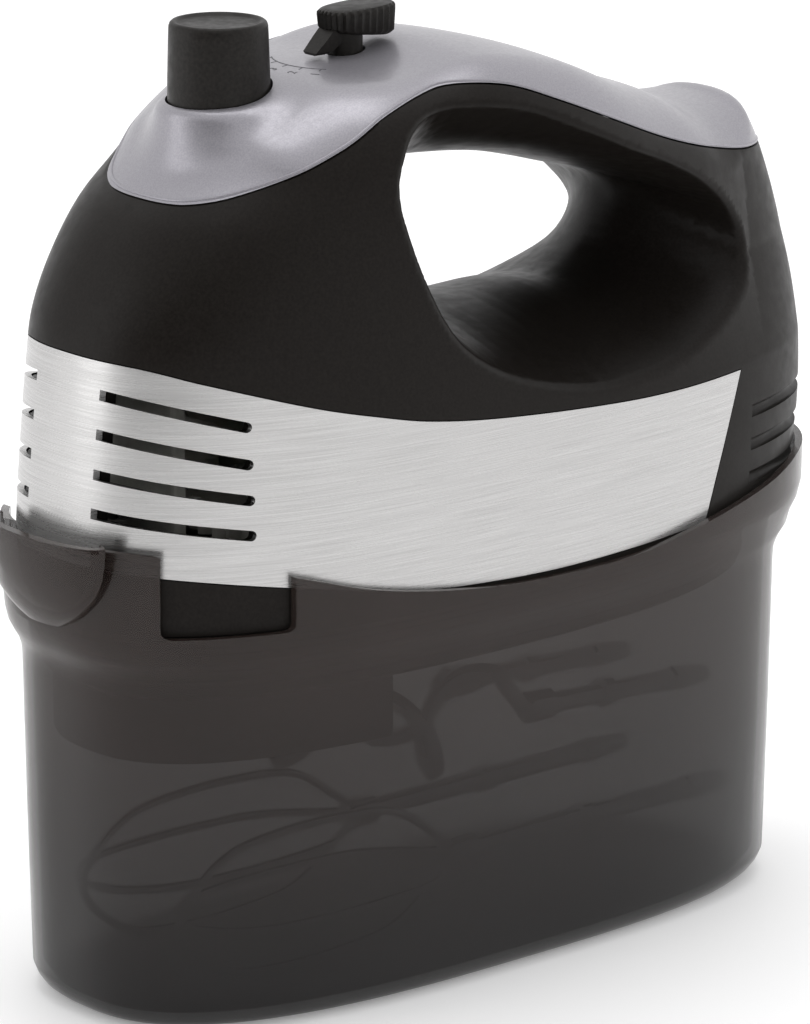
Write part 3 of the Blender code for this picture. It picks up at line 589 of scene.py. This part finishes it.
def plan(z, front, rear, half, ends, count=132):
    """One level outline, a rounded oval whose front and rear may differ."""
    a = (np.arange(count) + 0.5) * 2 * math.pi / count
    n = np.where(np.cos(a) > 0, ends[1], ends[0])
    r = (np.abs(np.cos(a)) ** n + np.abs(np.sin(a)) ** n) ** (-1 / n)
    along = np.where(np.cos(a) > 0, HALF_L + rear - WIDEST_X, HALF_L + front + WIDEST_X)
    return np.stack([WIDEST_X + along * r * np.cos(a), half * r * np.sin(a), a * 0 + z], -1)


def tub(name, rows):
    return loft(name, [plan(*row) for row in rows])


low_rows = [(80, -8, -8.6, 39.4, BODY_ROUND), (80.4, -5.6, -6.2, 41.8, BODY_ROUND),
            (81.8, -3.9, -4.5, 43.5, BODY_ROUND)]
for z in (84, 88, 92):
    low_rows += [(z, -3.4, -4, 44, BODY_ROUND), (z + 0.5, -2.8, -3.4, 44.6, BODY_ROUND),
                 (z + 1.7, -2.8, -3.4, 44.6, BODY_ROUND), (z + 2.2, -3.4, -4, 44, BODY_ROUND)]
low_rows += [(96.1, -3.4, -4, 44, BODY_ROUND), (96.4, 2, 11, 47.3, BODY_ROUND), (98, 2, 11, 47.3, BODY_ROUND)]
lower = tub("lower", low_rows)
boss = tub("boss", [(64, -8.4, -8.4, 37.4, BODY_ROUND), (64.5, -6.6, -6.6, 39.2, BODY_ROUND),
                    (66, -5.8, -5.8, 40, BODY_ROUND), (84, -5.8, -5.8, 40, BODY_ROUND)])
bm = bmesh.new()
bmesh.ops.create_cube(bm, size=1)
bmesh.ops.scale(bm, vec=(0.068, 0.12, 0.03), verts=bm.verts)
bmesh.ops.translate(bm, vec=(-0.070, 0, 0.075), verts=bm.verts)
across = [e for e in bm.edges if all(v.co.x > -0.05 and v.co.z < 0.07 for v in e.verts)]
bmesh.ops.bevel(bm, geom=across, offset=0.004, segments=5, profile=0.5, affect="EDGES", material=-1)
boss = cut(boss, from_bm("boss_block", bm), "INTERSECT")
lower = cut(lower, boss, "UNION")
lower = cut(lower, tub("room", [(82.4, -5.8, -6.4, 41.6, BODY_ROUND), (110, -5.8, -6.4, 41.6, BODY_ROUND)]))
for y in (-SPINDLE_Y, SPINDLE_Y):
    lower = cut(lower, turned("socket", [(0, 60), (8.6, 60), (8.6, 67), (8.0, 67.6), (8.0, 90), (0, 90)],
                              SPINDLE_X, y))
lower.data.shade_smooth()
lower.data.set_sharp_from_angle(angle=math.radians(32))
piece(lower, "lower_moulding", "mixer", "black_plastic", black, "lower_housing")

# ---- Drive spindles
# Turned steel sockets that grip the beater stems, with a rounded mouth and a snap groove.
turned_steel, tree, bsdf = new_material("machined_steel", (0.5, 0.5, 0.5), 0.3, 1.0)
spread(tree, grain(tree, 1, 4, (300, 300, 5000)), (0.42, 0.42, 0.42), (0.58, 0.58, 0.57),
       bsdf.inputs["Base Color"])
spread(tree, grain(tree, 700, 3), 0.22, 0.4, bsdf.inputs["Roughness"])
for side, y in (("left", -SPINDLE_Y), ("right", SPINDLE_Y)):
    spindle = turned("spindle_" + side, [
        (3.8, 66.8), (4.3, 66.2), (5.6, 66.0), (6.3, 66.3), (6.6, 67), (6.6, 74), (6.0, 74.6), (6.0, 76),
        (6.6, 76.6), (6.6, 111.6), (6.2, 112), (5.1, 112), (5.1, 127.6), (4.8, 128), (3.8, 128),
        (3.8, 66.8)], SPINDLE_X, y, 40)
    spindle.data.shade_smooth()
    spindle.data.set_sharp_from_angle(angle=math.radians(40))
    piece(spindle, "socket_" + side, "spindle_" + side, "machined_steel", turned_steel,
          "drive_spindle_" + side)

# ---- Storage bin
# One clear smoke-tinted moulding: a tub with a rounded foot, a flared collar whose rim dips along the
# sides, a cut-out on each side near the nose, and a half-moon thumb cup at the nose. Its colour is
# darkened towards the foot as painted shade, and it is more opaque where seen edge on.
collar = line([(-125, 119), (-98, 118), (-69, 111), (-50, 105.5), (-31, 102), (-10, 99.6), (10, 98.8),
               (36, 99.2), (59, 102), (88, 106), (105, 109), (125, 111)])


def cup(name, centre, ahead, behind, half, rows):
    """A half-moon bowl whose level outlines grow upwards."""
    a = (np.arange(48) + 0.5) * 2 * math.pi / 48
    along = np.where(np.cos(a) < 0, ahead, behind) * np.abs(np.cos(a))
    return loft(name, [np.stack([centre + along * s, half * s * np.sin(a), a * 0 + z], -1) for z, s in rows])


store = tub("bin", [
    (0, -6.5, -7.2, 40.5, TUB_ROUND), (0.25, -5.7, -6.3, 41.3, TUB_ROUND), (0.9, -4.4, -5.0, 42.7, TUB_ROUND),
    (2.4, -2.6, -3.2, 44.3, TUB_ROUND), (4.2, -1.4, -2.0, 45.6, TUB_ROUND),
    (6.5, -0.6, -1.2, 46.5, TUB_ROUND),
    (45, 0, -0.5, 47.3, TUB_ROUND), (83, 0.4, 0, 47.9, TUB_ROUND), (86, 0.7, 0.9, 48.1, (2.63, 3.15)),
    (88.5, 1.7, 4.4, 48.8, (2.6, 2.9)), (90.5, 2.9, 8.6, 49.5, (2.6, 2.7)), (93, 4.2, 11.6, 50.2, BODY_ROUND),
    (96, 4.9, 13.9, 50.5, BODY_ROUND), (100, 5.3, 15.3, 50.6, BODY_ROUND),
    (124, 5.5, 15.6, 50.8, BODY_ROUND)])
store = cut(store, side_cutter(collar, lambda x: x * 0 + 140, -130, 130, 0, 160))
store = cut(store, tub("hollow", [
    (2.6, -7.5, -8.2, 39.3, TUB_ROUND), (3.6, -5, -5.6, 41.6, TUB_ROUND), (7, -2.9, -3.5, 44.1, TUB_ROUND),
    (84, -1.8, -2.2, 45.7, TUB_ROUND), (96, 0.2, 4.0, 46.2, (2.6, 2.8))]))
store = cut(store, cup("tab", -108.4, -7.5, 3, 23, ((98.5, 0.32), (100, 0.46), (102, 0.6), (104.4, 0.72),
                                                    (107, 0.82), (110, 0.9), (113, 0.95), (117, 0.99),
                                                    (120.0, 1.0), (120.4, 0.99))), "UNION")
store = cut(store, cup("tab_room", -108, -5.6, 3, 20.8, ((101.5, 0.3), (102.8, 0.46), (104.5, 0.6),
                                                         (106.4, 0.72), (108.5, 0.82), (111, 0.9),
                                                         (114, 0.95), (119, 1.0), (125, 1.02))))
store = cut(store, tub("collar_room", [(96, 3.6, 13.6, 48.8, BODY_ROUND),
                                       (140, 3.6, 13.6, 48.8, BODY_ROUND)]))
bm = bmesh.new()
bmesh.ops.create_cube(bm, size=1)
bmesh.ops.scale(bm, vec=(0.0285, 0.14, 0.040), verts=bm.verts)
bmesh.ops.translate(bm, vec=(-0.08375, 0, 0.1182), verts=bm.verts)
across = [e for e in bm.edges
          if all(v.co.z < 0.11 for v in e.verts) and abs(e.verts[0].co.y - e.verts[1].co.y) > 0.1]
bmesh.ops.bevel(bm, geom=across, offset=0.002, segments=5, profile=0.5, affect="EDGES", material=-1)
store = cut(store, from_bm("notch", bm))
store.data.shade_smooth()
store.data.set_sharp_from_angle(angle=math.radians(30))
smoke, tree, bsdf = new_material("smoked_plastic", (0.022, 0.016, 0.014), 0.14, Alpha=0.62,
                                 Specular_IOR_Level=0.4)
# Base colour: the smoke tint with grain, darkened towards the foot as painted shade that fades out by 95 mm up.
tint_and_foot_shade = tree.nodes.new("ShaderNodeMix")
tint_and_foot_shade.data_type = "RGBA"
tint_and_foot_shade.inputs["A"].default_value = (0.006, 0.0045, 0.0042, 1)
coords = tree.nodes.new("ShaderNodeTexCoord")
level = tree.nodes.new("ShaderNodeSeparateXYZ")
tree.links.new(coords.outputs["Object"], level.inputs["Vector"])
spread(tree, level.outputs["Z"], 0.0, 1.0, tint_and_foot_shade.inputs["Factor"], 0.005, 0.095)
spread(tree, grain(tree, 30, 4), (0.024, 0.0155, 0.0125), (0.033, 0.0225, 0.019), tint_and_foot_shade.inputs["B"])
tree.links.new(tint_and_foot_shade.outputs["Result"], bsdf.inputs["Base Color"])
edge_on = tree.nodes.new("ShaderNodeLayerWeight")
edge_on.inputs["Blend"].default_value = 0.4
spread(tree, edge_on.outputs["Facing"], 0.65, 0.97, bsdf.inputs["Alpha"], 0.35, 1.0)
spread(tree, grain(tree, 140, 5), 0.10, 0.19, bsdf.inputs["Roughness"])
relief(tree, bsdf, grain(tree, 60, 3), 0.05, 0.2)
piece(store, "bin", "bin", "smoked_plastic", smoke, "storage_bin")

# ---- Eject knob
# Large round push button in black plastic with a rounded shoulder and a slightly sunk top, on a narrower
# stem.
knob = turned("knob", [(0, 232.7), (9.0, 232.7), (9.5, 232.85), (9.9, 233.2), (10.4, 233.38), (10.9, 233.3),
                       (11.35, 232.9), (11.6, 232.2), (11.7, 230), (12.0, 220), (12.2, 206), (12.2, 203.6),
                       (11.6, 203), (8, 203), (8, 196), (3.2, 196), (3.2, 160), (0, 160)], KNOB_X, 0, 96)
knob.data.shade_smooth()
knob.data.set_sharp_from_angle(angle=math.radians(40))
soft_black, tree, bsdf = new_material("knob_black", (0.012, 0.011, 0.009), 0.42, Specular_IOR_Level=0.18)
spread(tree, grain(tree, 1200, 3), (0.009, 0.008, 0.007), (0.018, 0.016, 0.014), bsdf.inputs["Base Color"])
spread(tree, grain(tree, 400, 3), 0.36, 0.5, bsdf.inputs["Roughness"])
relief(tree, bsdf, grain(tree, 2600, 2), 0.12, 0.06)
piece(knob, "knob", "ejector", "black_plastic", soft_black, "eject_knob")

# ---- Speed lever
# Black thumb lever: a long ribbed head over a round pivot, and a slanting pointer that ends just above
# the printed scale.
a = np.arange(120) * 2 * math.pi / 120
ribs = 1 + 0.035 * np.clip(np.cos(30 * a) * 3, -1, 1)


def head_ring(z, along, across, ribbed, lift=0.0):
    r = (np.abs(np.cos(a)) ** 2.6 + np.abs(np.sin(a)) ** 2.6) ** (-1 / 2.6)
    r = r * (ribs if ribbed else 1.0)
    x = 10.0 * along * r * np.cos(a)
    return np.stack([LEVER_X + 3.4 + x, 6.4 * across * r * np.sin(a), z + lift * x], -1)


head = loft("head", [head_ring(225.5, 0.8, 0.8, False, -0.12), head_ring(225.8, 0.87, 0.87, False, -0.12),
                     head_ring(226.5, 0.94, 0.94, True, -0.10), head_ring(230.5, 0.97, 0.97, True, 0.03),
                     head_ring(231.4, 0.97, 0.96, True, 0.05), head_ring(231.95, 0.93, 0.9, False, 0.05),
                     head_ring(232.15, 0.82, 0.78, False, 0.035)])
pivot = turned("pivot", [(0, 209), (4.2, 209), (4.2, 228), (0, 228)], LEVER_X, 0, 40)
corners = ((-1, -1), (1, -1), (1, 1), (-1, 1))
pointer = loft("pointer", [[(LEVER_X + x + u * wide, v * half, z) for u, v in corners]
                           for x, z, wide, half in ((-9.2, 221.7, 1.5, 1.8), (-8.2, 222.3, 2.6, 2.4),
                                                    (-4.6, 225.2, 3.1, 2.8), (-1.4, 228.4, 3.1, 2.8))])
lever = joined("lever", head, pivot, pointer)
lever.data.shade_smooth()
lever.data.set_sharp_from_angle(angle=math.radians(35))
piece(lever, "lever_head", "lever", "black_plastic", soft_black, "speed_lever")

# ---- Printed scale
# Thin dark print on the silver in front of the lever: an arc, a tick and a plain number for each speed.
ink, tree, bsdf = new_material("scale_print", (0.05, 0.05, 0.06), 0.5)
spread(tree, grain(tree, 1500, 3), (0.04, 0.04, 0.05), (0.09, 0.09, 0.10), bsdf.inputs["Base Color"])


def on_cover(radius, turn):
    """A point on the silver, at a distance and a turn in front of the lever's pivot."""
    x, y = LEVER_X - radius * math.cos(turn), radius * math.sin(turn)
    rise = reach(body, np.array([[x, y, 190.0]]), np.array([[0.0, 0.0, 1.0]]), 50)[0]
    return np.array([x, y, 190 + rise])


marks = [tube("arc", [on_cover(17.4, math.radians(t)) for t in range(-36, 37, 3)], 0.22, 6, False, 0.4)]
for k in range(5):
    turn = math.radians(-32 + 16 * k)
    marks.append(tube("tick", [on_cover(r, turn) for r in (17.4, 18.2, 19.0)], 0.2, 6, False, 0.4))
    text = bpy.data.curves.new("number", "FONT")
    text.body = str(k + 1)
    text.size = 3.2 * MM
    text.extrude = 0.05 * MM
    text.align_x = text.align_y = "CENTER"
    holder = bpy.data.objects.new("number", text)
    scene.collection.objects.link(holder)
    number = baked(holder)
    place, tilt = on_cover(21.6, turn), slope(body, on_cover(21.6, turn)[None])[0]
    lie = Vector(tilt).to_track_quat("Z", "Y").to_matrix().to_4x4()
    number.data.transform(Matrix.Translation(Vector(place) * MM) @ lie @ Matrix.Rotation(math.pi / 2, 4, "Z"))
    marks.append(number)
piece(joined("scale", *marks), "speed_scale", "mixer", "silver_paint", ink)

# ---- Beaters
# Bright wire beaters lying in the bin: two crossed wire loops closed at the tip, a hub, and a stem with two
# collars.
chrome, tree, bsdf = new_material("chrome_wire", (0.36, 0.36, 0.36), 0.16, 1.0)
spread(tree, grain(tree, 400, 4), (0.30, 0.30, 0.30), (0.42, 0.42, 0.42), bsdf.inputs["Base Color"])
spread(tree, grain(tree, 900, 3), 0.10, 0.22, bsdf.inputs["Roughness"])


def stem(length, collars):
    """A round stem along X with a hub at its start."""
    ob = turned("stem", [(0, -4), (3.2, -4), (4.0, -3.2), (4.0, 4.4), (3.4, 5), (2.6, 5.4)]
                + [q for x, r in collars for q in ((2.6, x - 0.4), (r, x), (r, x + 3), (2.6, x + 3.4))]
                + [(2.6, length - 1.6), (1.6, length), (0, length)], 0, 0, 24)
    ob.data.transform(Matrix.Rotation(math.pi / 2, 4, "Y"))
    return ob


def lay(ob, name, cad, at, roll, pitch):
    tilt = Matrix.Rotation(pitch, 4, "Y") @ Matrix.Rotation(roll, 4, "X")
    ob.data.transform(Matrix.Translation(Vector(at) * MM) @ tilt)
    ob.data.shade_smooth()
    ob.data.set_sharp_from_angle(angle=math.radians(40))
    piece(ob, name, "bin", "chrome_wire", chrome, cad)


for name, y in (("near", -19.3), ("far", 19.3)):
    parts = [stem(90, ((40, 3.6), (76, 3.3)))]
    for k in range(2):
        half = [(0, 1.5), (-6, 5.2), (-20, 14.4), (-36, 16.8), (-54, 17), (-70, 15), (-80.5, 8.6)]
        wire = loop([(x, y2, 0) for x, y2 in half] + [(-84.2 - 1.7 * k, 0, 0)]
                    + [(x, -y2, 0) for x, y2 in reversed(half)], 110)
        turn = Matrix.Rotation(k * math.pi / 2, 3, "X")
        parts.append(tube("wire", [turn @ Vector(p) for p in wire], 1.1, 10, True))
    lay(joined("beater", *parts), "beater_" + name + "_wire", "beater_" + name, (1, y, 22.6), 0, 0)

# ---- Dough hooks
# Thick bright wire wound in an open coil, on the same kind of stem, lying above the beaters.
for name, at, roll, hand in (("near", (36, -8, 50), 0.3, 1), ("far", (34, 20, 50), 1.2, -1)):
    turns = np.linspace(0, 2.5 * math.pi, 90)
    coil = np.stack([-14 - 46 * turns / turns[-1], hand * 11 * np.sin(turns), 11 * np.cos(turns)], -1)
    lead = loop([(6, 0, 0), (-2, 0, 0), (-8, 0.5 * hand, 4), (-14, 0, 11)], 60)[:45]
    path = np.concatenate([lead, coil[1:], [[-62, hand * 10, 2], [-64, hand * 8.5, 3.4]]])
    parts = [stem(58, ((22, 3.8), (46, 3.3))), tube("wire", path, 2.2, 12)]
    lay(joined("hook", *parts), "hook_" + name, "dough_hook_" + name, at, roll, 0.05)

# ---- Works inside
# The motor, worm drive, ejector, switch and boards keep their shapes and get their own finishes, each
# with fine grain.
finishes = {
    "white_nylon": ((0.70, 0.68, 0.62), (0.80, 0.78, 0.72), 0.45, 0.0, (1, 1, 1)),
    "spring_steel": ((0.45, 0.45, 0.45), (0.6, 0.6, 0.6), 0.25, 1.0, (1, 1, 1)),
    "sintered_bronze": ((0.48, 0.33, 0.15), (0.60, 0.43, 0.21), 0.42, 1.0, (1, 1, 1)),
    "lamination_iron": ((0.16, 0.16, 0.17), (0.34, 0.34, 0.36), 0.5, 0.9, (30, 1, 1)),
    "copper_wire": ((0.42, 0.15, 0.06), (0.66, 0.29, 0.13), 0.35, 0.9, (1, 12, 12)),
    "carbon": ((0.02, 0.02, 0.02), (0.05, 0.05, 0.05), 0.6, 0.0, (1, 1, 1)),
    "circuit_board": ((0.01, 0.12, 0.05), (0.02, 0.20, 0.09), 0.4, 0.0, (1, 4, 1))}
inside = {"machined_steel": turned_steel, "black_plastic": black}
for slot, (low, high, rough, metallic, stretch) in finishes.items():
    inside[slot], tree, bsdf = new_material(slot, low, rough, metallic)
    spread(tree, grain(tree, 500, 4, stretch), low, high, bsdf.inputs["Base Color"])
    spread(tree, grain(tree, 900, 3), rough - 0.07, rough + 0.1, bsdf.inputs["Roughness"])
    relief(tree, bsdf, grain(tree, 1500, 2, stretch), 0.15, 0.08)
shown = {"storage_bin", "main_housing", "top_cover", "trim_band", "lower_housing", "eject_knob",
         "speed_lever", "cord_gland", "drive_spindle_left", "drive_spindle_right", "beater_near",
         "beater_far", "dough_hook_near", "dough_hook_far"}
for part in frame["record"]["subparts"]:
    if part["node"] not in shown:
        node = frame["nodes"][part["node"]]
        node.data.materials.clear()
        node.data.materials.append(inside[part["material_slot"]])
